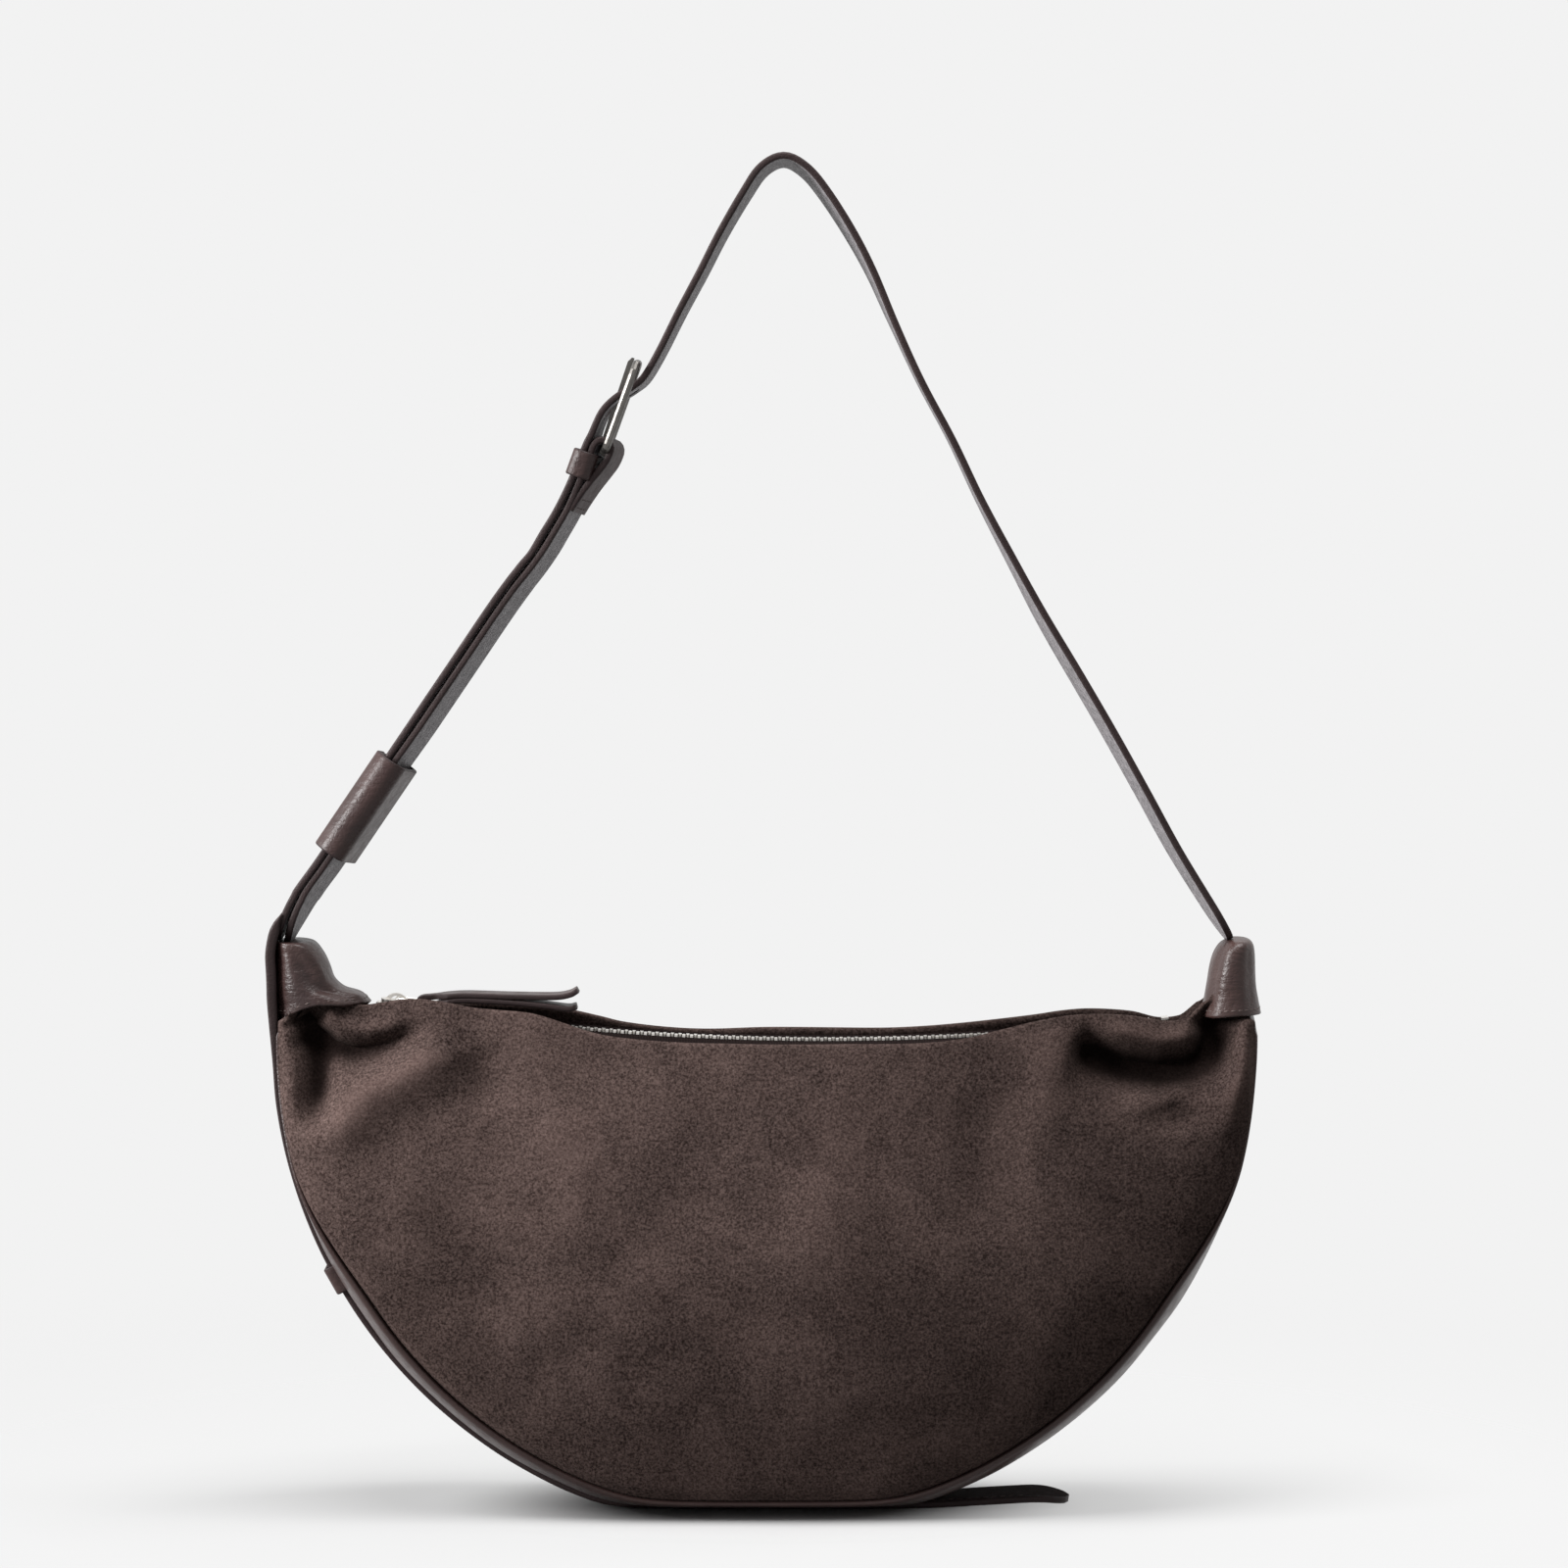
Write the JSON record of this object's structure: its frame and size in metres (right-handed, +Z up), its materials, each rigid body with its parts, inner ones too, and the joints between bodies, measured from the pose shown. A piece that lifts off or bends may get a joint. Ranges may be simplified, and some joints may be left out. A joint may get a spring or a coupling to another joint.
{
  "type": "crossbody bag",
  "caption": "Half-moon crossbody bag: soft panels round a curved gusset, a zipped top, leather end caps and a raised strap with a buckle and a sliding sleeve.",
  "frame": {"origin": "on the floor below the middle of the bag, at the middle of its resting face's width", "axes": "+X to the right along the mouth, +Y to the back, +Z up towards the raised strap"},
  "size_m": [0.3435, 0.0858, 0.4693],
  "materials": {
    "suede": "napped, matt",
    "smooth_leather": "smooth, soft sheen",
    "lining_cloth": "plain weave",
    "tape_cloth": "woven zip tape",
    "zip_metal": "polished nickel",
    "buckle_metal": "polished nickel"
  },
  "bodies": {
    "bag": {"front_panel": "suede", "back_panel": "suede", "gusset": "smooth_leather", "front_lining": "lining_cloth", "back_lining": "lining_cloth", "gusset_lining": "lining_cloth", "front_zip_tape": "tape_cloth", "back_zip_tape": "tape_cloth", "front_zip_teeth": "zip_metal", "back_zip_teeth": "zip_metal", "zip_top_stops": "zip_metal", "zip_bottom_stop": "zip_metal", "left_end_cap": "smooth_leather", "right_end_cap": "smooth_leather", "strap_tail": "smooth_leather", "gusset_keeper": "smooth_leather"},
    "strap": {"strap_arch": "smooth_leather", "buckle_strap": "smooth_leather", "buckle_keeper": "smooth_leather"},
    "buckle": {"buckle_frame": "buckle_metal"},
    "prong": {"buckle_prong": "buckle_metal"},
    "sleeve": {"strap_sleeve": "smooth_leather"},
    "slider": {"zip_slider_top": "zip_metal", "zip_slider_bottom": "zip_metal"},
    "link": {"pull_link": "zip_metal"},
    "tab": {"pull_tab": "smooth_leather"}
  },
  "joints": [
    {"name": "strap_swing", "type": "hinge", "parent": "bag", "child": "strap", "pos_m": [0, 0, 0.21], "axis": [1, 0, 0], "range_deg": [-85, 85]},
    {"name": "buckle_tilt", "type": "hinge", "parent": "strap", "child": "buckle", "pos_m": [-0.0554, 0, 0.3679], "axis": [0, -1, 0], "range_deg": [-2, 2]},
    {"name": "prong_lift", "type": "hinge", "parent": "buckle", "child": "prong", "pos_m": [-0.0554, 0, 0.3679], "axis": [0, -1, 0], "range_deg": [0, 2.5]},
    {"name": "sleeve_slide", "type": "slide", "parent": "strap", "child": "sleeve", "axis": [0.5626, 0, 0.8268], "range_m": [0, 0.055]},
    {"name": "slider_travel", "type": "hinge", "parent": "bag", "child": "slider", "pos_m": [0.0205, 0, 1.1123], "axis": [0, -1, 0], "range_deg": [0, 12]},
    {"name": "link_swing", "type": "hinge", "parent": "slider", "child": "link", "pos_m": [-0.12846, 0, 0.17752], "axis": [0, -1, 0], "range_deg": [0, 75]},
    {"name": "tab_swing", "type": "hinge", "parent": "link", "child": "tab", "pos_m": [-0.11957, 0, 0.1761], "axis": [0, -1, 0], "range_deg": [-4, 15]}
  ]
}
